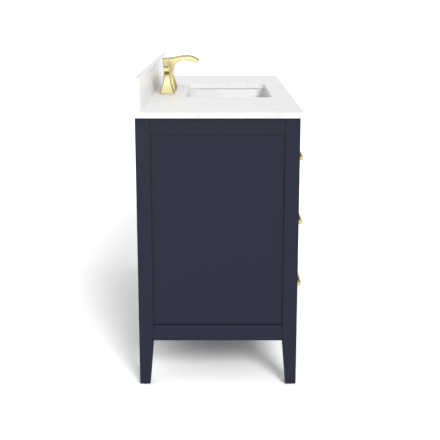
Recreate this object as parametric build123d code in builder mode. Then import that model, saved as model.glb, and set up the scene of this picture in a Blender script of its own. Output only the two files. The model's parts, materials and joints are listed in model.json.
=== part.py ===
from build123d import *
import os

# Bathroom vanity cabinet, 48 in wide, for one undermount sink: a painted face-frame cabinet on tapered
# corner posts, a stone top with a backsplash, two inset doors between two stacks of three inset drawers,
# a widespread faucet and a pop-up drain.
# Millimetres. +X is right, +Y goes to the wall and +Z up, so the front faces -Y. The origin is the middle
# of the whole object's box, at the floor.

os.makedirs("parts", exist_ok=True)

# ---- Top ----
top_width = 1219.0
top_depth = 508.0
top_height = 880.0
top_thickness = 18.0
splash_height = 102.0
stone_edge = 1.5  # rounding of the stone's edges

# ---- Cabinet ----
side_overhang = 12.0
front_overhang = 10.0
leg_size = 45.0
foot_size = 33.0
glide_height = 3.0
glide_radius = 12.0
floor_gap = 150.0  # under the lowest rails
frame_thickness = 20.0
side_top_rail = 50.0
side_bottom_rail = 51.0
front_top_rail = 43.0
front_bottom_rail = 37.0
rail_step = 0.8  # the side rails lie this far inside the posts' faces
joint_chamfer = 0.8
panel_recess = 6.0
panel_thickness = 12.0
stile_width = 35.0
partition_thickness = 16.0
bottom_thickness = 16.0
back_thickness = 6.0
back_recess = 24.0  # from the posts' back faces to the front of the back panel
back_rail_height = 90.0
back_rail_thickness = 18.0
back_post_width = 60.0  # stiffens the back panel across the plumbing opening
wall_screw_spacing = 406.4  # 16 in
wall_screw_radius = 3.0
plumbing_width = 400.0
plumbing_bottom = 300.0
plumbing_top = 700.0
brace_leg = 80.0
brace_thickness = 18.0

# ---- Drawers and doors ----
bay_width = 268.0  # clear width of a drawer bay
row_names = ["bottom", "middle", "top"]
front_gap = 2.5  # round each inset front
gap_between = 3.0  # between two fronts
front_thickness = 19.0
front_frame = 40.0  # width of a drawer front's raised border
door_frame = 50.0
face_recess = 6.0
door_panel_inset = 3.0  # from a door's back to its panel's back
glue_line = 0.1
board = 12.0  # drawer sides and ends
box_height = 150.0
box_length = 440.0
box_lift = 15.0  # from the front's lower edge to the box
box_bottom = 6.0
box_groove = 12.0  # from the box's lower edge to its bottom board

# ---- Drawer slides, one cabinet rail and one runner on each side of a drawer ----
slide_width = 12.7
slide_length = 450.0
slide_height = 45.0
slide_sheet = 1.2
slide_lift = 45.0  # from the box's lower edge to the slide's middle
rail_flange = 9.5  # how far the rail's channel reaches into the bay
rail_lip = 6.5
runner_half = 15.0  # half the height of the runner's channel
runner_near = 3.0  # from the bay's wall to the runner's hooks
runner_hook = 20.0  # from the runner's middle to the ends of its hooks

# ---- Pulls ----
pull_length = 110.0
pull_reach = 30.0
pull_height = 12.0
pull_bar = 6.0
pull_post = 14.0
pull_edge = 0.8
door_pull_height = 713.0

# ---- Door hinges and catches ----
hinge_length = 64.0
hinge_inset = 100.0  # from a door's end to the middle of its hinge
barrel_radius = 3.5
pin_radius = 1.8
pin_clearance = 0.07
barrel_proud = 3.8  # the pin's axis stands this far in front of the face
leaf_thickness = 1.0
leaf_depth = 15.0
knuckle_gap = 0.5
catch_width = 30.0
catch_thickness = 20.0
catch_offset = 8.0  # from the cabinet's middle
catch_overlap = 16.0  # onto the door, and onto the rail above it

# ---- Sink and drain ----
sink_width = 458.0
sink_depth = 298.0
sink_back = 136.0  # from the top's back edge to the cut-out
cut_corner = 22.0
bowl_reveal = 3.0
bowl_depth = 140.0
bowl_wall = 9.0
bowl_draft = 22.0  # how far each wall leans in
bowl_corner = 30.0
bowl_floor_round = 30.0
bowl_flange = 10.5
bowl_rim = 4.0  # rounding of the bowl's inner rim
dish_depth = 4.0
dish_radius = 115.0
drain_flange_radius = 32.0
drain_flange = 2.5
flange_clearance = 0.5
drain_hole_radius = 22.5
drain_thread_radius = 22.0
drain_bore_radius = 19.0
drain_thread_length = 60.0
drain_floor = 6.0  # thickness of the thread's lower end
tailpiece_radius = 15.875
tailpiece_bore = 14.6
tailpiece_length = 90.0
stopper_radius = 20.5
stopper_cap = 4.0
stopper_stem = 4.0
stopper_clearance = 0.4
stopper_round = 1.5
stem_below = 8.0  # how far the stem shows below its guide
guide_radius = 8.0
guide_height = 8.0
guide_lift = 20.0  # from the thread's lower end to the guide
crossbar = 4.0
clip_width = 30.0
clip_reach = 12.0
clip_grip = 6.0
clip_gap = 1.0

# ---- Faucet ----
faucet_from_back = 65.5
faucet_spacing = 102.0
faucet_hole_radius = 17.0
plinth = 1.5
pedestal_base = 51.0
pedestal_waist = 18.4
pedestal_height = 68.4
spout_base = 56.0
spout_waist = 30.0
spout_flare_height = 70.0
crown_chamfer = 5.0
shank_radius = 13.0
shank_length = 60.0
inlet_radius = 10.4
inlet_length = 22.0
nut_radius = 22.0
nut_thickness = 9.0
nut_clearance = 0.3
stem_radius = 6.0
stem_length = 22.0
stem_clearance = 0.06
stem_floor = 2.0  # under the stem, in its bore
hub_clearance = 0.4
neck_size = 16.5
neck_height = 9.4
lever_length = 74.0
lever_width = 17.6
lever_height = 21.0
lever_tip_width = 15.0
lever_tip_height = 11.0
lever_rise = 7.0  # of its underside, from the neck to the tip
lever_round = 1.0

# ---- Places worked out from the sizes above ----
side_x = top_width / 2 - side_overhang
back_y = (top_depth - front_overhang + pull_reach) / 2
top_front_y = back_y - top_depth
face_y = top_front_y + front_overhang
frame_back_y = face_y + frame_thickness
front_back_y = face_y + front_thickness
cabinet_top = top_height - top_thickness
leg_inner_x = side_x - leg_size
side_inner_x = side_x - panel_recess - panel_thickness
bay_inner_x = leg_inner_x - bay_width
door_edge_x = bay_inner_x - stile_width
open_bottom = floor_gap + front_bottom_rail
open_top = cabinet_top - front_top_rail
inner_back_y = back_y - back_recess
front_width = bay_width - 2 * front_gap
row_count = len(row_names)
front_height = (open_top - open_bottom - 2 * front_gap - (row_count - 1) * gap_between) / row_count
door_bottom = open_bottom + front_gap
door_top = open_top - front_gap
sink_y = back_y - sink_back - sink_depth / 2
bowl_floor = cabinet_top - bowl_depth
faucet_y = back_y - faucet_from_back
hinge_heights = (door_bottom + hinge_inset, door_top - hinge_inset)
sides = {"left": -1, "right": 1}


def block(x, y, z, mode=Mode.ADD):
    """Fills the spans x, y and z in the part being built. A span may run either way."""
    with Locations((sum(x) / 2, sum(y) / 2, sum(z) / 2)):
        Box(abs(x[1] - x[0]), abs(y[1] - y[0]), abs(z[1] - z[0]), mode=mode)


def post(x, y, radius, z, mode=Mode.ADD):
    """A round post, or a round hole, that stands at x, y over the span z."""
    with Locations((x, y, sum(z) / 2)):
        Cylinder(radius, abs(z[1] - z[0]), mode=mode)


def save(piece, name):
    """Labels a finished piece and writes it."""
    piece.part.label = name
    export_step(piece.part, f"parts/{name}.step")


# ================================ Cabinet ================================


def make_leg(side, back):
    """A square corner post. Its two inner faces taper from the rails down to the foot."""
    y_out = back_y if back else face_y
    inward = -1 if back else 1

    def section(z, size):
        with BuildSketch(Plane.XY.offset(z)) as square:
            with Locations((side * (side_x - size / 2), y_out + inward * size / 2)):
                Rectangle(size, size)
            chamfer(square.vertices(), joint_chamfer)
        return square.sketch

    with BuildPart() as leg:
        loft([section(glide_height, foot_size), section(floor_gap, leg_size)], ruled=True)
        extrude(section(floor_gap, leg_size), amount=cabinet_top - floor_gap)
    return leg


for side_name, side in sides.items():
    for end_name in ("front", "back"):
        save(make_leg(side, end_name == "back"), f"leg_{end_name}_{side_name}")

with BuildPart() as floor_glides:
    foot = foot_size / 2
    for side in sides.values():
        for y in (face_y + foot, back_y - foot):
            post(side * (side_x - foot), y, glide_radius, (0, glide_height))
save(floor_glides, "floor_glides")

for side_name, side in sides.items():
    rail_x = side * (side_x - rail_step)
    between_legs = (face_y + leg_size, back_y - leg_size)
    with BuildPart() as side_rails:
        block((rail_x, side * side_inner_x), between_legs, (cabinet_top - side_top_rail, cabinet_top))
        block((rail_x, side * side_inner_x), between_legs, (floor_gap, floor_gap + side_bottom_rail))
        outer_edges = side_rails.edges().filter_by(Axis.Z).group_by(Axis.X)[0 if side < 0 else -1]
        chamfer(outer_edges, joint_chamfer)
    save(side_rails, f"side_rails_{side_name}")

    panel_x = (side * (side_x - panel_recess), side * side_inner_x)
    with BuildPart() as side_panel:
        block(panel_x, between_legs, (floor_gap + side_bottom_rail, cabinet_top - side_top_rail))
    save(side_panel, f"side_panel_{side_name}")

with BuildPart() as front_rails:
    front_span = (-leg_inner_x, leg_inner_x)
    block(front_span, (face_y + rail_step, frame_back_y), (open_top, cabinet_top))
    block(front_span, (face_y + rail_step, frame_back_y), (floor_gap, open_bottom))
save(front_rails, "front_rails")

with BuildPart() as front_stiles:
    for side in sides.values():
        block((side * door_edge_x, side * bay_inner_x), (face_y, frame_back_y), (open_bottom, open_top))
    chamfer(front_stiles.edges().filter_by(Axis.Z).group_by(Axis.Y)[0], joint_chamfer)
save(front_stiles, "front_stiles")

with BuildPart() as bottom_panel:
    panel_z = (open_bottom - bottom_thickness, open_bottom)
    block((-side_inner_x, side_inner_x), (frame_back_y, inner_back_y), panel_z)
    for side in sides.values():
        corner_x = (side * leg_inner_x, side * side_inner_x)
        block(corner_x, (frame_back_y, face_y + leg_size), panel_z, Mode.SUBTRACT)
        block(corner_x, (back_y - leg_size, inner_back_y), panel_z, Mode.SUBTRACT)
save(bottom_panel, "bottom_panel")

with BuildPart() as partitions:
    for side in sides.values():
        wall = (side * bay_inner_x, side * (bay_inner_x - partition_thickness))
        block(wall, (frame_back_y, inner_back_y), (open_bottom, cabinet_top))
save(partitions, "partitions")

with BuildPart() as back_rail:
    rail_bottom = cabinet_top - back_rail_height
    rail_back_y = inner_back_y + back_rail_thickness
    block((-leg_inner_x, leg_inner_x), (inner_back_y, rail_back_y), (rail_bottom, cabinet_top))
    with BuildSketch(Plane.XZ.offset(-rail_back_y)):
        with Locations((0, (rail_bottom + cabinet_top) / 2)):
            with GridLocations(wall_screw_spacing, 0, 2, 1):
                Circle(wall_screw_radius)
    extrude(amount=back_rail_thickness, mode=Mode.SUBTRACT)
    post_x = (-back_post_width / 2, back_post_width / 2)
    post_y = (inner_back_y + back_thickness, rail_back_y)
    block(post_x, post_y, (floor_gap, rail_bottom - glue_line))
save(back_rail, "back_rail")

with BuildPart() as back_panel:
    panel_y = (inner_back_y, inner_back_y + back_thickness)
    block((-leg_inner_x, leg_inner_x), panel_y, (floor_gap, rail_bottom))
    hole_x = (-plumbing_width / 2, plumbing_width / 2)
    block(hole_x, panel_y, (plumbing_bottom, plumbing_top), Mode.SUBTRACT)
save(back_panel, "back_panel")

with BuildPart() as corner_braces:
    with BuildSketch(Plane.XY.offset(cabinet_top - brace_thickness)):
        for side in sides.values():
            for wall_y, inward, leg_edge_y in (
                (frame_back_y, 1, face_y + leg_size),
                (inner_back_y, -1, back_y - leg_size),
            ):
                brace = [
                    (side * leg_inner_x, wall_y),
                    (side * (leg_inner_x - brace_leg), wall_y),
                    (side * side_inner_x, leg_edge_y + inward * brace_leg),
                    (side * side_inner_x, leg_edge_y),
                    (side * leg_inner_x, leg_edge_y),
                ]
                with BuildLine():
                    Polyline(brace, close=True)
                make_face()
    extrude(amount=brace_thickness)
save(corner_braces, "corner_braces")


# ================================ Pulls, drawers and slides ================================


def make_pull(x, y, z, along):
    """A square bar pull whose middle is at x, z on the face at y. along is the bar's direction."""
    plane = Plane(origin=(x, y, z), x_dir=along, z_dir=Vector(*along).cross(Vector(0, -1, 0)))
    middle = pull_reach / 2
    with BuildPart() as pull:
        with BuildSketch(plane):
            with Locations((0, middle)):
                Rectangle(pull_length, pull_reach)
            with Locations((0, middle - pull_bar / 2)):
                Rectangle(pull_length - 2 * pull_post, pull_reach - pull_bar, mode=Mode.SUBTRACT)
        extrude(amount=pull_height / 2, both=True)
        foot_faces = pull.faces().sort_by(Axis.Y)[-2:]
        foot_edges = foot_faces.edges()
        free_edges = pull.edges().filter_by(lambda edge: edge not in foot_edges)
        chamfer(free_edges, pull_edge)
    return pull


def make_front(x, z, border):
    """An inset front over the spans x and z: a raised border round a recessed field."""
    with BuildPart() as front:
        block(x, (face_y, front_back_y), z)
        field_x = (min(x) + border, max(x) - border)
        field_z = (min(z) + border, max(z) - border)
        block(field_x, (face_y, face_y + face_recess), field_z, Mode.SUBTRACT)
        rim = front.edges().group_by(Axis.Y)[0]
        chamfer(rim, joint_chamfer)
    return front


def make_box(x, z):
    """A drawer box of five boards: two sides, a front, a back and a bottom between them."""
    y = (front_back_y, front_back_y + box_length)
    inner_x = (x[0] + board + glue_line, x[1] - board - glue_line)
    inner_y = (y[0] + board + glue_line, y[1] - board - glue_line)
    with BuildPart() as box:
        block((x[0], x[0] + board), y, z)
        block((x[1] - board, x[1]), y, z)
        block(inner_x, (y[0], y[0] + board), z)
        block(inner_x, (y[1] - board, y[1]), z)
        block(inner_x, inner_y, (z[0] + box_groove, z[0] + box_groove + box_bottom))
    return box


def slide_section(wall_x, inward, z, rail):
    """The section of a slide's cabinet rail, or of the runner inside it, on the wall at wall_x."""
    if rail:
        half = slide_height / 2
        bars = [
            (0, slide_sheet, 0, half),
            (0, rail_flange, half - slide_sheet, half),
            (rail_flange - slide_sheet, rail_flange, half - rail_lip, half),
        ]
    else:
        bars = [
            (slide_width - slide_sheet, slide_width, 0, runner_half),
            (runner_near, slide_width, runner_half - slide_sheet, runner_half),
            (runner_near, runner_near + slide_sheet, runner_half - slide_sheet, runner_hook),
        ]
    for near, far, low, high in bars:
        for way in (-1, 1):
            with Locations((wall_x + inward * (near + far) / 2, z + way * (low + high) / 2)):
                Rectangle(far - near, high - low)


def make_slides(pairs, rail):
    """Slide rails or runners for each (bay wall, direction into the bay, height)."""
    with BuildPart() as slides:
        with BuildSketch(Plane.XZ.offset(-(front_back_y + slide_length))):
            for wall_x, inward, z in pairs:
                slide_section(wall_x, inward, z, rail)
        extrude(amount=slide_length)
    return slides


rail_places = []
for side_name, side in sides.items():
    bay = sorted((side * bay_inner_x, side * leg_inner_x))
    bay_middle = sum(bay) / 2
    for row, row_name in enumerate(row_names):
        drawer = f"drawer_{side_name}_{row_name}"
        front_bottom = door_bottom + row * (front_height + gap_between)
        front_z = (front_bottom, front_bottom + front_height)
        front_x = (bay_middle - front_width / 2, bay_middle + front_width / 2)
        save(make_front(front_x, front_z, front_frame), f"{drawer}_front")

        box_z = (front_bottom + box_lift, front_bottom + box_lift + box_height)
        save(make_box((bay[0] + slide_width, bay[1] - slide_width), box_z), f"{drawer}_box")

        pull_z = front_bottom + front_height / 2
        save(make_pull(bay_middle, face_y + face_recess, pull_z, (1, 0, 0)), f"{drawer}_pull")

        slide_z = box_z[0] + slide_lift
        pair = [(bay[0], 1, slide_z), (bay[1], -1, slide_z)]
        rail_places += pair
        save(make_slides(pair, False), f"{drawer}_runners")
save(make_slides(rail_places, True), "slide_rails")


# ================================ Doors ================================


def knuckles(z):
    """The spans of the lower, middle and upper knuckle of a hinge whose middle is at z."""
    third = hinge_length / 3
    low, high = z - hinge_length / 2, z + hinge_length / 2
    return (
        (low, low + third - knuckle_gap / 2),
        (low + third + knuckle_gap / 2, high - third - knuckle_gap / 2),
        (high - third + knuckle_gap / 2, high),
    )


pin_y = face_y - barrel_proud
leaf_y = (face_y, face_y + leaf_depth)

with BuildPart() as hinge_frame_leaves:
    for side in sides.values():
        pin_x = side * (door_edge_x - front_gap / 2)
        leaf_x = (side * door_edge_x, side * (door_edge_x - leaf_thickness))
        for z in hinge_heights:
            lower, _, upper = knuckles(z)
            block(leaf_x, leaf_y, (lower[0], upper[1]))
            post(pin_x, pin_y, pin_radius, (lower[0], upper[1]))
            for knuckle in (lower, upper):
                post(pin_x, pin_y, barrel_radius, knuckle)
                block(leaf_x, (pin_y, face_y), knuckle)
save(hinge_frame_leaves, "hinge_frame_leaves")

for side_name, side in sides.items():
    pin_x = side * (door_edge_x - front_gap / 2)
    hinge_edge = side * (door_edge_x - front_gap)
    free_edge = side * gap_between / 2
    door_z = (door_bottom, door_top)
    door_y = (face_y, front_back_y)

    # Two stiles, two rails between them and a panel, each its own board.
    rail_x = (hinge_edge - side * (door_frame + glue_line), free_edge + side * (door_frame + glue_line))
    with BuildPart() as door:
        block((hinge_edge, hinge_edge - side * door_frame), door_y, door_z)
        block((free_edge, free_edge + side * door_frame), door_y, door_z)
        block(rail_x, door_y, (door_bottom, door_bottom + door_frame))
        block(rail_x, door_y, (door_top - door_frame, door_top))
        chamfer(door.edges().group_by(Axis.Y)[0], joint_chamfer)
        panel_edge = door_frame + glue_line
        field_z = (door_bottom + panel_edge, door_top - panel_edge)
        block(rail_x, (face_y + face_recess, front_back_y - door_panel_inset), field_z)
    save(door, f"door_{side_name}")

    pull_x = side * (gap_between / 2 + door_frame / 2)
    save(make_pull(pull_x, face_y, door_pull_height, (0, 0, 1)), f"door_{side_name}_pull")

    leaf_x = (hinge_edge, hinge_edge + side * leaf_thickness)
    with BuildPart() as hinge_leaves:
        for z in hinge_heights:
            lower, middle, upper = knuckles(z)
            block(leaf_x, leaf_y, (lower[0], upper[1]))
            post(pin_x, pin_y, barrel_radius, middle)
            block(leaf_x, (pin_y + barrel_radius - leaf_thickness, face_y), middle)
            post(pin_x, pin_y, pin_radius + pin_clearance, middle, Mode.SUBTRACT)
    save(hinge_leaves, f"door_{side_name}_hinge_leaves")

with BuildPart() as door_catches:
    for side in sides.values():
        catch_x = (side * catch_offset, side * (catch_offset + catch_width))
        catch_z = (door_top - catch_overlap, open_top + catch_overlap)
        block(catch_x, (frame_back_y, frame_back_y + catch_thickness), catch_z)
save(door_catches, "door_catches")


# ================================ Stone top ================================

with BuildPart() as countertop:
    with BuildSketch(Plane.XY.offset(cabinet_top)):
        with Locations((0, (top_front_y + back_y) / 2)):
            Rectangle(top_width, top_depth)
        with Locations((0, sink_y)):
            RectangleRounded(sink_width, sink_depth, cut_corner, mode=Mode.SUBTRACT)
        with Locations((0, faucet_y)):
            with GridLocations(faucet_spacing, 0, 3, 1):
                Circle(faucet_hole_radius, mode=Mode.SUBTRACT)
    extrude(amount=top_thickness)
    top_face = countertop.faces().sort_by(Axis.Z)[-1]
    circles = top_face.edges().filter_by(GeomType.CIRCLE)
    holes = circles.filter_by(lambda edge: edge.radius == faucet_hole_radius)
    fillet([edge for edge in top_face.edges() if edge not in holes], stone_edge)
save(countertop, "countertop")

with BuildPart() as backsplash:
    block(
        (-top_width / 2, top_width / 2),
        (back_y - top_thickness, back_y),
        (top_height, top_height + splash_height),
    )
    fillet(backsplash.faces().sort_by(Axis.Z)[-1].edges(), stone_edge)
save(backsplash, "backsplash")


# ================================ Sink and drain ================================

inside_width = sink_width + 2 * bowl_reveal
inside_depth = sink_depth + 2 * bowl_reveal
flange_grow = bowl_wall + bowl_flange


def make_tub(grow, floor, corner):
    """A solid with the bowl's shape, grown by grow on each side, from its floor up to the stone."""
    with BuildPart() as tub:
        for z, spread in ((floor, grow - bowl_draft), (cabinet_top, grow)):
            with BuildSketch(Plane.XY.offset(z)):
                with Locations((0, sink_y)):
                    RectangleRounded(inside_width + 2 * spread, inside_depth + 2 * spread, corner)
        loft()
        fillet(tub.faces().sort_by(Axis.Z)[0].edges(), bowl_floor_round)
    return tub


hollow = make_tub(0, bowl_floor, bowl_corner)
shell = make_tub(bowl_wall, bowl_floor - bowl_wall, bowl_corner + bowl_wall)
dish_floor = bowl_floor - dish_depth
seat_z = dish_floor - drain_flange

with BuildPart() as sink_bowl:
    add(shell.part)
    with BuildSketch(Plane.XY.offset(cabinet_top)):
        with Locations((0, sink_y)):
            RectangleRounded(
                inside_width + 2 * flange_grow, inside_depth + 2 * flange_grow, bowl_corner + flange_grow
            )
    extrude(amount=-bowl_wall)
    post(0, sink_y, drain_flange_radius + bowl_wall, (bowl_floor - bowl_wall, seat_z - bowl_wall))
    add(hollow.part, mode=Mode.SUBTRACT)
    with Locations((0, sink_y, bowl_floor - dish_depth / 2)):
        Cone(drain_flange_radius + 2 * flange_clearance, dish_radius, dish_depth, mode=Mode.SUBTRACT)
    post(0, sink_y, drain_flange_radius + flange_clearance, (seat_z, bowl_floor), Mode.SUBTRACT)
    post(0, sink_y, drain_hole_radius, (seat_z - 2 * bowl_wall, seat_z), Mode.SUBTRACT)
    # The inner rim is the top's shorter loop of edges.
    top_face = sink_bowl.faces().sort_by(Axis.Z)[-1]
    fillet(top_face.inner_wires().edges(), bowl_rim)
save(sink_bowl, "sink_bowl")

with BuildPart() as sink_clips:
    grip_z = (cabinet_top - bowl_wall - clip_grip, cabinet_top - bowl_wall)
    for x in (-inside_width / 4, inside_width / 4):
        clip_x = (x - clip_width / 2, x + clip_width / 2)
        for way in (-1, 1):
            edge_y = sink_y + way * (inside_depth / 2 + flange_grow + clip_gap)
            block(clip_x, (edge_y, edge_y + way * clip_reach), (grip_z[0], cabinet_top))
            block(clip_x, (edge_y - way * clip_reach, edge_y), grip_z)
save(sink_clips, "sink_clips")

with BuildPart() as drain_body:
    thread_bottom = seat_z - drain_thread_length
    tail_bottom = thread_bottom - tailpiece_length
    post(0, sink_y, drain_flange_radius, (seat_z, dish_floor))
    post(0, sink_y, drain_thread_radius, (thread_bottom, seat_z))
    post(0, sink_y, tailpiece_radius, (tail_bottom, thread_bottom))
    post(0, sink_y, drain_bore_radius, (thread_bottom + drain_floor, dish_floor), Mode.SUBTRACT)
    post(0, sink_y, tailpiece_bore, (tail_bottom, dish_floor), Mode.SUBTRACT)
    # A crossbar with a bored hub guides the stopper's stem.
    guide_z = (thread_bottom + guide_lift, thread_bottom + guide_lift + guide_height)
    bar_half = (drain_bore_radius + drain_thread_radius) / 2
    post(0, sink_y, guide_radius, guide_z)
    block((-bar_half, bar_half), (sink_y - crossbar / 2, sink_y + crossbar / 2), guide_z)
    post(0, sink_y, stopper_stem + stem_clearance, guide_z, Mode.SUBTRACT)
save(drain_body, "drain_body")

with BuildPart() as drain_stopper:
    cap_z = dish_floor + stopper_clearance
    post(0, sink_y, stopper_radius, (cap_z, cap_z + stopper_cap))
    fillet(drain_stopper.edges().sort_by(Axis.Z)[-1], stopper_round)
    post(0, sink_y, stopper_stem, (guide_z[0] - stem_below, cap_z))
save(drain_stopper, "drain_stopper")


# ================================ Faucet ================================


def counter_plane(x, x_dir):
    """An upright plane on the counter at the faucet's line. Its own Y is up."""
    return Plane(origin=(x, faucet_y, top_height), x_dir=x_dir, z_dir=Vector(*x_dir).cross(Vector(0, 0, 1)))


def flared_outline(plane, base, waist, flare_height, height):
    """The side of a square body that narrows from its base to its waist, drawn on an upright plane."""
    with BuildSketch(plane) as outline:
        with BuildLine():
            flare = Spline(
                (base / 2, plinth),
                (waist / 2, flare_height),
                tangents=[(-0.3, 1), (-0.06, 1)],
            )
            Polyline(flare @ 1, (waist / 2, height), (0, height), (0, 0), (base / 2, 0), flare @ 0)
        make_face()
        mirror(about=Plane.YZ)
    return outline.sketch


def make_pedestal(x):
    """A valve's square base, flared to both sides."""
    sizes = (pedestal_base, pedestal_waist, pedestal_height - plinth, pedestal_height)
    with BuildPart() as pedestal:
        extrude(flared_outline(counter_plane(x, (1, 0, 0)), *sizes), amount=pedestal_base / 2, both=True)
        along = flared_outline(counter_plane(x, (0, -1, 0)), *sizes)
        extrude(along, amount=pedestal_base / 2, both=True, mode=Mode.INTERSECT)
    return pedestal


valves = {"hot": -1, "cold": 1}
shank_z = (top_height - shank_length, top_height)
pedestal_top = top_height + pedestal_height
pedestals = {side: make_pedestal(side * faucet_spacing) for side in valves.values()}

with BuildPart() as faucet_valves:
    for side, pedestal in pedestals.items():
        x = side * faucet_spacing
        add(pedestal.part)
        post(x, faucet_y, shank_radius, shank_z)
        post(x, faucet_y, inlet_radius, (shank_z[0] - inlet_length, shank_z[0]))
        bore_z = (pedestal_top - stem_length - stem_floor, pedestal_top)
        post(x, faucet_y, stem_radius + stem_clearance, bore_z, Mode.SUBTRACT)
save(faucet_valves, "faucet_valves")

for valve_name, side in valves.items():
    x = side * faucet_spacing
    neck_bottom = pedestal_top + hub_clearance
    hub_half = lever_width / 2
    low = neck_bottom + neck_height - top_height
    tip_low = low + lever_rise
    with BuildPart() as handle:
        # The lever rises from its neck and narrows towards its tip, seen from the side and from above.
        with BuildSketch(counter_plane(x, (side, 0, 0))):
            with BuildLine():
                Polyline(
                    (-hub_half, low),
                    (hub_half, low),
                    (lever_length, tip_low),
                    (lever_length, tip_low + lever_tip_height),
                    (-hub_half, low + lever_height),
                    close=True,
                )
            make_face()
        extrude(amount=lever_width / 2, both=True)
        with BuildSketch(Plane((x, faucet_y, top_height))):
            with BuildLine():
                Polyline(
                    (-side * hub_half, hub_half),
                    (side * hub_half, hub_half),
                    (side * lever_length, lever_tip_width / 2),
                    (side * lever_length, -lever_tip_width / 2),
                    (side * hub_half, -hub_half),
                    (-side * hub_half, -hub_half),
                    close=True,
                )
            make_face()
        extrude(amount=2 * pedestal_height, mode=Mode.INTERSECT)
        fillet(handle.faces().sort_by(Axis.Z)[-1].edges(), lever_round)
        with BuildSketch(Plane.XY.offset(neck_bottom)):
            with Locations((x, faucet_y)):
                Rectangle(neck_size, neck_size)
        extrude(amount=neck_height)
        post(x, faucet_y, stem_radius, (neck_bottom - stem_length, neck_bottom))
    save(handle, f"handle_{valve_name}")

with BuildPart() as faucet_spout:
    # Its side is drawn as distances in front of the faucet's line and heights over the top.
    with BuildSketch(counter_plane(0, (0, -1, 0))):
        with BuildLine():
            half = spout_base / 2
            front = Spline(
                [(half, plinth), (17.2, 62), (25.5, 96.5), (62, 111), (104.5, 102.4)],
                tangents=[(-0.36, 1), (0, 1), (0.6, 0.8), (1, 0), (1, -0.38)],
            )
            tip = Line(front @ 1, (115, 113.6))
            crown = Spline(
                [tip @ 1, (69, 130.2), (-22.1, 119.6)],
                tangents=[(-0.8, 0.6), (-1, 0), (-1, -0.02)],
            )
            back = Spline(
                [crown @ 1, (-17.7, 62), (-half, plinth)],
                tangents=[(0.09, -1), (0, -1), (-0.36, -1)],
            )
            Polyline(back @ 1, (-half, 0), (half, 0), front @ 0)
        make_face()
    extrude(amount=half, both=True)
    sides_plane = counter_plane(0, (1, 0, 0))
    spout_top = 2 * spout_flare_height
    across = flared_outline(sides_plane, spout_base, spout_waist, spout_flare_height, spout_top)
    extrude(across, amount=top_depth, both=True, mode=Mode.INTERSECT)
    chamfer(faucet_spout.edges().sort_by(Axis.Z)[-2:], crown_chamfer)
    post(0, faucet_y, shank_radius, shank_z)
save(faucet_spout, "faucet_spout")



def make_nut(x, y, seat, radius, hole_radius):
    """A six-sided nut under the face at the height seat."""
    with BuildPart() as nut:
        with BuildSketch(Plane.XY.offset(seat - nut_thickness)):
            with Locations((x, y)):
                RegularPolygon(radius, 6)
                Circle(hole_radius + nut_clearance, mode=Mode.SUBTRACT)
        extrude(amount=nut_thickness)
    return nut.part


nuts = [
    make_nut(x, faucet_y, cabinet_top, nut_radius, shank_radius)
    for x in (-faucet_spacing, 0, faucet_spacing)
]
nuts.append(make_nut(0, sink_y, seat_z - bowl_wall, drain_flange_radius, drain_thread_radius))

with BuildPart() as mounting_nuts:
    add(nuts)
save(mounting_nuts, "mounting_nuts")
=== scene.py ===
import json
import math

import bpy
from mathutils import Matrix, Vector

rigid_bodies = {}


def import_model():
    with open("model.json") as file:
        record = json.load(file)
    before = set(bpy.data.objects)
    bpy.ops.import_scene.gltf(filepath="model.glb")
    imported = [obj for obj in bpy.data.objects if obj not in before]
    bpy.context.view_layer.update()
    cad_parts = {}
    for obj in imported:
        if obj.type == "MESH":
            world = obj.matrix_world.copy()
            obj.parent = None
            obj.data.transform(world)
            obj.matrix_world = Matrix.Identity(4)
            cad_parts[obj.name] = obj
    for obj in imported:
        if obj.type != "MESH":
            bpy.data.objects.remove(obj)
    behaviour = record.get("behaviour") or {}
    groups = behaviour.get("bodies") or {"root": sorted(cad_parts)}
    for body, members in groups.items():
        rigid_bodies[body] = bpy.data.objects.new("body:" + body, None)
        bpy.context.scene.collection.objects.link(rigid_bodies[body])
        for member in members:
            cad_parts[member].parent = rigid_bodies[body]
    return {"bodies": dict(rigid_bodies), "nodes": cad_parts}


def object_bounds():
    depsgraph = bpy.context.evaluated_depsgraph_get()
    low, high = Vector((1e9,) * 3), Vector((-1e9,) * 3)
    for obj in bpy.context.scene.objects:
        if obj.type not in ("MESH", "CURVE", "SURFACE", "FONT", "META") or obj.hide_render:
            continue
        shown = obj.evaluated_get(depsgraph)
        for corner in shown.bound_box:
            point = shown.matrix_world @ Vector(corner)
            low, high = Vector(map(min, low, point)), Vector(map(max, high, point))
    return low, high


# Bathroom vanity cabinet: materials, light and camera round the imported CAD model. Metres, +Z up, and the
# front faces -Y. Every CAD node keeps its shape and gets a procedural material.

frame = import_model()
cad_low, cad_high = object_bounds()
nodes = frame["nodes"]


# ---------------------------------------------------------------- node helpers


def fill_ramp(node, stops):
    """Sets a colour ramp's stops. Each is a place from 0 to 1 and a colour."""
    marks = node.color_ramp.elements
    while len(marks) < len(stops):
        marks.new(0.5)
    for mark, (place, colour) in zip(marks, stops):
        mark.position = place
        mark.color = (*colour, 1)


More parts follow.
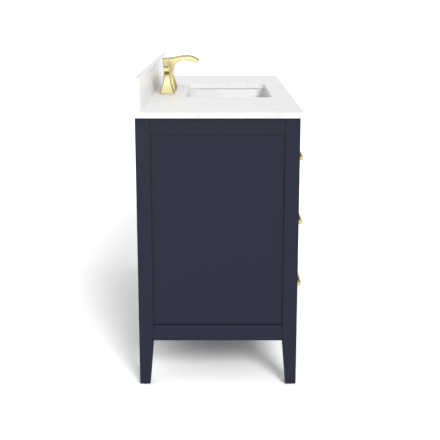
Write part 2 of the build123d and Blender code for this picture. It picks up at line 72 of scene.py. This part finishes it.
class Nodes:
    """A short way to write a material's nodes."""

    def __init__(self, name):
        self.material = bpy.data.materials.new(name)
        self.material.use_nodes = True
        self.tree = self.material.node_tree
        self.tree.nodes.clear()
        out = self.tree.nodes.new("ShaderNodeOutputMaterial")
        self.shader = self.tree.nodes.new("ShaderNodeBsdfPrincipled")
        self.tree.links.new(self.shader.outputs[0], out.inputs["Surface"])
        self.place = self.tree.nodes.new("ShaderNodeTexCoord").outputs["Object"]

    def put(self, value, socket):
        """Links an output to a socket, or sets a plain value on it."""
        if isinstance(value, bpy.types.NodeSocket):
            self.tree.links.new(value, socket)
        else:
            socket.default_value = value

    def plain(self, **values):
        """Sets values that are the same all over on the shader itself."""
        for name, value in values.items():
            self.shader.inputs[name.replace("_", " ")].default_value = value

    def colour(self, value):
        self.put(value, self.shader.inputs["Base Color"])

    def roughness(self, value):
        self.put(value, self.shader.inputs["Roughness"])

    def scaled(self, scale):
        """The place on the object, stretched by a scale for each axis."""
        node = self.tree.nodes.new("ShaderNodeMapping")
        self.put(self.place, node.inputs["Vector"])
        node.inputs["Scale"].default_value = scale
        return node.outputs[0]

    def along(self, axis, lengthwise, across):
        """A place for strokes or fibres that run along one axis."""
        return self.scaled(tuple(lengthwise if name == axis else across for name in "xyz"))

    def noise(self, vector, scale, detail=3.0, rough=0.5, distortion=0.0):
        node = self.tree.nodes.new("ShaderNodeTexNoise")
        self.put(vector, node.inputs["Vector"])
        node.inputs["Scale"].default_value = scale
        node.inputs["Detail"].default_value = detail
        node.inputs["Roughness"].default_value = rough
        node.inputs["Distortion"].default_value = distortion
        return node.outputs["Fac"]

    def ramp(self, value, *stops):
        """A colour for each value from 0 to 1."""
        node = self.tree.nodes.new("ShaderNodeValToRGB")
        self.put(value, node.inputs["Fac"])
        fill_ramp(node, stops)
        return node.outputs["Color"]

    def math(self, kind, a, b=0.0):
        node = self.tree.nodes.new("ShaderNodeMath")
        node.operation = kind
        self.put(a, node.inputs[0])
        self.put(b, node.inputs[1])
        return node.outputs[0]

    def times(self, a, b):
        return self.math("MULTIPLY", a, b)

    def mix(self, share, a, b):
        """Colour a where share is 0 and colour b where it is 1."""
        node = self.tree.nodes.new("ShaderNodeMix")
        node.data_type = "RGBA"
        self.put(share, node.inputs[0])
        for value, socket in ((a, node.inputs[6]), (b, node.inputs[7])):
            self.put((*value, 1) if isinstance(value, tuple) else value, socket)
        return node.outputs[2]

    def bump(self, height, distance, rounding=0.0):
        """Fine relief. rounding softens the edges by that radius."""
        node = self.tree.nodes.new("ShaderNodeBump")
        if rounding:
            edge = self.tree.nodes.new("ShaderNodeBevel")
            edge.samples = 8
            edge.inputs["Radius"].default_value = rounding
            self.put(edge.outputs[0], node.inputs["Normal"])
        self.put(height, node.inputs["Height"])
        node.inputs["Distance"].default_value = distance
        self.put(node.outputs[0], self.shader.inputs["Normal"])


def dress(material, *names):
    """Gives CAD nodes a material."""
    for name in names:
        mesh = nodes[name].data
        mesh.materials.clear()
        mesh.materials.append(material)


def dress_between(material, name, low, high):
    """Gives the faces of a node whose middles lie between two heights a second material."""
    item = nodes[name]
    item.data.materials.append(material)
    for side in item.data.polygons:
        if low < (item.matrix_world @ side.center).z < high:
            side.material_index = 1


def shade(colour, share):
    """A colour made darker."""
    return tuple(share * channel for channel in colour)


# ---------------------------------------------------------------- materials

BLACK = (0, 0, 0)
WHITE = (1, 1, 1)


def painted_wood(name, grain):
    """Satin navy paint over wood, with a faint grain along one axis under it."""
    m = Nodes(name)
    m.plain(IOR=1.5, Specular_IOR_Level=0.15)
    fibres = m.noise(m.along(grain, 6, 90), 4, detail=5, rough=0.6)
    peel = m.noise(m.place, 900, detail=2)
    cloud = m.noise(m.place, 3.5, detail=2)
    tone = m.mix(m.times(fibres, 0.35), (0.0106, 0.0124, 0.0248), (0.0132, 0.0152, 0.0292))
    m.colour(m.mix(m.times(cloud, 0.3), tone, (0.0140, 0.0162, 0.0302)))
    m.roughness(m.math("ADD", m.times(fibres, 0.10), 0.42))
    m.bump(m.math("ADD", m.times(fibres, 0.7), m.times(peel, 0.3)), 0.00012)
    return m.material


def quartz(name, end_x):
    """White engineered stone with grey veins. Its ends, past end_x on both sides, get a painted shade that
    makes them darker.
    """
    m = Nodes(name)
    m.plain(Roughness=0.35, Specular_IOR_Level=0.3)
    wander = m.noise(m.place, 2.2, detail=4, rough=0.6)
    field = m.noise(m.scaled((1.0, 1.0, 0.6)), 3.2, detail=6, rough=0.62, distortion=1.4)
    from_vein = m.math("ABSOLUTE", m.math("SUBTRACT", field, 0.5))
    vein = m.ramp(from_vein, (0.0, WHITE), (0.03, BLACK))
    speck = m.noise(m.place, 700, detail=1)
    base = m.mix(m.times(speck, 0.25), (0.79, 0.79, 0.79), (0.75, 0.75, 0.746))
    tone = m.mix(m.times(m.times(vein, wander), 0.35), base, (0.50, 0.50, 0.51))
    split = m.tree.nodes.new("ShaderNodeSeparateXYZ")
    m.put(m.place, split.inputs[0])
    # Painted shade: faces past end_x on both sides are made 22 percent darker.
    end_shade = m.math("GREATER_THAN", m.math("ABSOLUTE", split.outputs["X"]), end_x)
    m.colour(m.mix(m.times(end_shade, 0.22), tone, BLACK))
    return m.material


def glaze(name):
    """White sanitary glaze, with a slight cloud in it."""
    m = Nodes(name)
    m.plain(Roughness=0.22)
    cloud = m.noise(m.place, 6, detail=2)
    m.colour(m.mix(cloud, (0.63, 0.63, 0.625), (0.67, 0.67, 0.665)))
    return m.material


def metal(name, dark, light, rough, brushed, rounding=0.0, corner_shade=None, rim=WHITE):
    """A plated metal, brushed along one axis. corner_shade is a painted shade colour for its corners and
    creases, rim its colour at grazing angles.
    """
    m = Nodes(name)
    m.plain(Metallic=1.0, Specular_Tint=(*rim, 1))
    strokes = m.noise(m.along(brushed, 12, 700), 2, detail=4, rough=0.7)
    tone = m.mix(strokes, dark, light)
    if corner_shade:
        # Painted shade: the colour turns darker where the AO node finds other surfaces close by, in
        # corners and creases.
        corners = m.tree.nodes.new("ShaderNodeAmbientOcclusion")
        corners.samples = 6
        corners.inputs["Distance"].default_value = 0.035
        openness = m.ramp(corners.outputs["AO"], (0.25, BLACK), (0.95, WHITE))
        tone = m.mix(openness, corner_shade, tone)
    m.colour(tone)
    m.roughness(m.math("ADD", m.times(strokes, 0.12), rough))
    m.bump(strokes, 0.000008, rounding)
    return m.material


def wood(name, grain, dark, light):
    """Unpainted wood with its rings and pores along one axis."""
    m = Nodes(name)
    m.plain(Roughness=0.5)
    rings = m.noise(m.along(grain, 1.2, 14), 3, detail=5, rough=0.55, distortion=0.6)
    pores = m.noise(m.along(grain, 20, 500), 2, detail=2)
    tone = m.ramp(rings, (0.3, dark), (0.5, light), (0.62, shade(light, 0.85)), (0.75, light))
    m.colour(m.mix(m.times(pores, 0.25), tone, dark))
    m.bump(pores, 0.00008)
    return m.material


def plastic(name, colour):
    """Moulded plastic with a fine texture."""
    m = Nodes(name)
    m.plain(Roughness=0.5)
    grain = m.noise(m.place, 1200, detail=2)
    m.colour(m.mix(m.times(grain, 0.3), colour, shade(colour, 0.8)))
    m.bump(grain, 0.00005)
    return m.material


def dress_cabinet(drawers):
    """Paint on the frame, panels, doors and drawer fronts. The rest is wood, zinc or plastic."""
    paint_up = painted_wood("navy_paint_upright", "z")
    paint_across = painted_wood("navy_paint_across", "x")
    paint_deep = painted_wood("navy_paint_deep", "y")
    dress(paint_up, *(name for name in nodes if name.startswith(("leg_", "side_panel_"))))
    dress(paint_up, "front_stiles", "door_left", "door_right")
    dress(paint_across, "front_rails", "bottom_panel", "back_panel", "back_rail")
    dress(paint_across, *(drawer + "_front" for drawer in drawers))
    dress(paint_deep, "side_rails_left", "side_rails_right")

    ply = wood("birch_ply", "z", (0.50, 0.34, 0.18), (0.74, 0.56, 0.36))
    dress(ply, "partitions", "corner_braces")
    box_wood = wood("drawer_birch", "y", (0.52, 0.35, 0.18), (0.76, 0.58, 0.37))
    dress(box_wood, *(drawer + "_box" for drawer in drawers))

    zinc = metal("zinc_plate", (0.50, 0.51, 0.53), (0.66, 0.67, 0.69), 0.34, "y")
    dress(zinc, "slide_rails", "sink_clips", *(drawer + "_runners" for drawer in drawers))
    dress(plastic("white_plastic", (0.80, 0.80, 0.78)), "door_catches")
    dress(plastic("black_nylon", (0.03, 0.03, 0.032)), "floor_glides")


def dress_top():
    """The stone, the bowl under it and the faucet's nuts."""
    skin = 0.001  # the painted shade on the stone starts this far inside the top's cut ends
    end_x = cad_high.x - skin  # no piece is wider than the top
    dress(quartz("white_quartz", end_x), "countertop", "backsplash")
    dress(glaze("white_glaze"), "sink_bowl")
    brass = metal("plain_brass", (0.50, 0.36, 0.16), (0.66, 0.50, 0.24), 0.32, "z")
    dress(brass, "mounting_nuts")


def dress_gold(drawers):
    """Brushed gold on the faucet, drain, pulls and hinges, with painted shade in its corners and on the
    neck under each lever.
    """
    gold = ((0.56, 0.49, 0.25), (0.74, 0.67, 0.40))
    # A painted shade colour for the gold's corners and creases.
    corner_shade = (0.30, 0.22, 0.06)
    upright = metal("brushed_gold_upright", *gold, 0.26, "z", 0.005, corner_shade, rim=(0.70, 0.56, 0.22))
    dress(upright, "faucet_spout", "faucet_valves", "drain_body", "drain_stopper")
    dress(upright, "door_left_pull", "door_right_pull")
    dress(upright, "hinge_frame_leaves", "door_left_hinge_leaves", "door_right_hinge_leaves")
    across = metal("brushed_gold_across", *gold, 0.26, "x", 0.001, corner_shade, rim=(0.92, 0.84, 0.58))
    dress(across, "handle_hot", "handle_cold", *(drawer + "_pull" for drawer in drawers))

    # The walls of a neck rise from 0.9488 to 0.9582, and these heights lie just inside.
    neck_low = 0.949
    neck_high = 0.958
    # Painted shade: the neck's walls under each lever get a dark gold, where the lever above them casts
    # shade.
    neck_shade = metal("gold_neck_painted_shade", (0.22, 0.16, 0.045), (0.30, 0.23, 0.07), 0.40, "x")
    for handle in ("handle_hot", "handle_cold"):
        dress_between(neck_shade, handle, neck_low, neck_high)


# ---------------------------------------------------------------- floor, light and camera


def link(name, data):
    """Puts a new object in the scene."""
    thing = bpy.data.objects.new(name, data)
    bpy.context.scene.collection.objects.link(thing)
    return thing


def shine_from(light, way):
    """Turns a light so that it shines from the direction way."""
    light.rotation_euler = way.to_track_quat("Z", "Y").to_euler()


def make_floor():
    """A large pale floor under the feet."""
    half = 30.0
    corners = [(-half, -half, 0), (half, -half, 0), (half, half, 0), (-half, half, 0)]
    mesh = bpy.data.meshes.new("floor")
    mesh.from_pydata(corners, [], [(0, 1, 2, 3)])
    m = Nodes("pale_floor")
    m.plain(Base_Color=(1.25, 1.25, 1.25, 1), Roughness=0.9, Specular_IOR_Level=0.0)
    mesh.materials.append(m.material)
    floor = link("floor", mesh)


def make_sun(name, azimuth, elevation, softness, strength):
    """A soft, far light that glossy surfaces don't mirror. azimuth runs in degrees from -Y towards -X."""
    data = bpy.data.lights.new(name, "SUN")
    data.angle = math.radians(softness)
    data.energy = strength
    turn = math.radians(azimuth)
    rise = math.radians(elevation)
    light = link(name, data)
    light.visible_glossy = False
    level = math.cos(rise)
    shine_from(light, Vector((-math.sin(turn) * level, -math.cos(turn) * level, math.sin(rise))))


def make_softbox(name, place, aim, width, height, power):
    """A panel that shows in glossy surfaces only."""
    data = bpy.data.lights.new(name, "AREA")
    data.shape = "RECTANGLE"
    data.size = width
    data.size_y = height
    data.energy = power
    light = link(name, data)
    light.visible_diffuse = False
    light.location = place
    shine_from(light, Vector(place) - Vector(aim))


def make_world(*stops):
    """A white surround. Each stop is the sine of an elevation and the light from there."""
    world = bpy.data.worlds.new("studio")
    world.use_nodes = True
    tree = world.node_tree
    place = tree.nodes.new("ShaderNodeTexCoord").outputs["Generated"]
    split = tree.nodes.new("ShaderNodeSeparateXYZ")
    tree.links.new(place, split.inputs[0])
    ramp = tree.nodes.new("ShaderNodeValToRGB")
    tree.links.new(split.outputs["Z"], ramp.inputs["Fac"])
    fill_ramp(ramp, [(rise, (strength, strength, strength)) for rise, strength in stops])
    backdrop = tree.nodes.new("ShaderNodeMix")
    backdrop.data_type = "RGBA"
    ray = tree.nodes.new("ShaderNodeLightPath")
    tree.links.new(ray.outputs["Is Camera Ray"], backdrop.inputs[0])
    tree.links.new(ramp.outputs["Color"], backdrop.inputs[6])
    backdrop.inputs[7].default_value = (*WHITE, 1)
    tree.links.new(backdrop.outputs[2], tree.nodes["Background"].inputs["Color"])
    bpy.context.scene.world = world


def make_camera(place, down, lens, shift):
    """Looks along +X at the cabinet's left end, tilted down by some degrees."""
    data = bpy.data.cameras.new("camera")
    data.sensor_width = 36
    data.lens = lens
    data.shift_y = shift
    data.clip_end = 100
    camera = link("camera", data)
    camera.location = place
    camera.rotation_euler = (math.pi / 2 - math.radians(down), 0, -math.pi / 2)
    bpy.context.scene.camera = camera


drawer_bodies = [body for body in frame["bodies"] if body.startswith("drawer_")]
dress_cabinet(drawer_bodies)
dress_top()
dress_gold(drawer_bodies)

make_floor()
make_world((0.03, 1.05), (0.10, 0.65), (0.9, 0.82))
make_sun("key", azimuth=68, elevation=34, softness=22, strength=2.2)
make_softbox("low_panel", (-3.6, 0.6, 0.5), (-0.6, 0.1, 0.7), width=1.0, height=0.9, power=6)
make_softbox("middle_panel", (-3.6, -0.3, 1.75), (0, 0.1, 0.9), width=0.5, height=1.0, power=11)
make_softbox("high_panel", (-3.6, 0.45, 2.3), (0, 0.15, 0.9), width=0.9, height=0.9, power=8)
make_camera((-2.949, 0.0082, 1.2003), down=11.12, lens=64.8, shift=-0.14)
bpy.context.scene.view_settings.view_transform = "Standard"
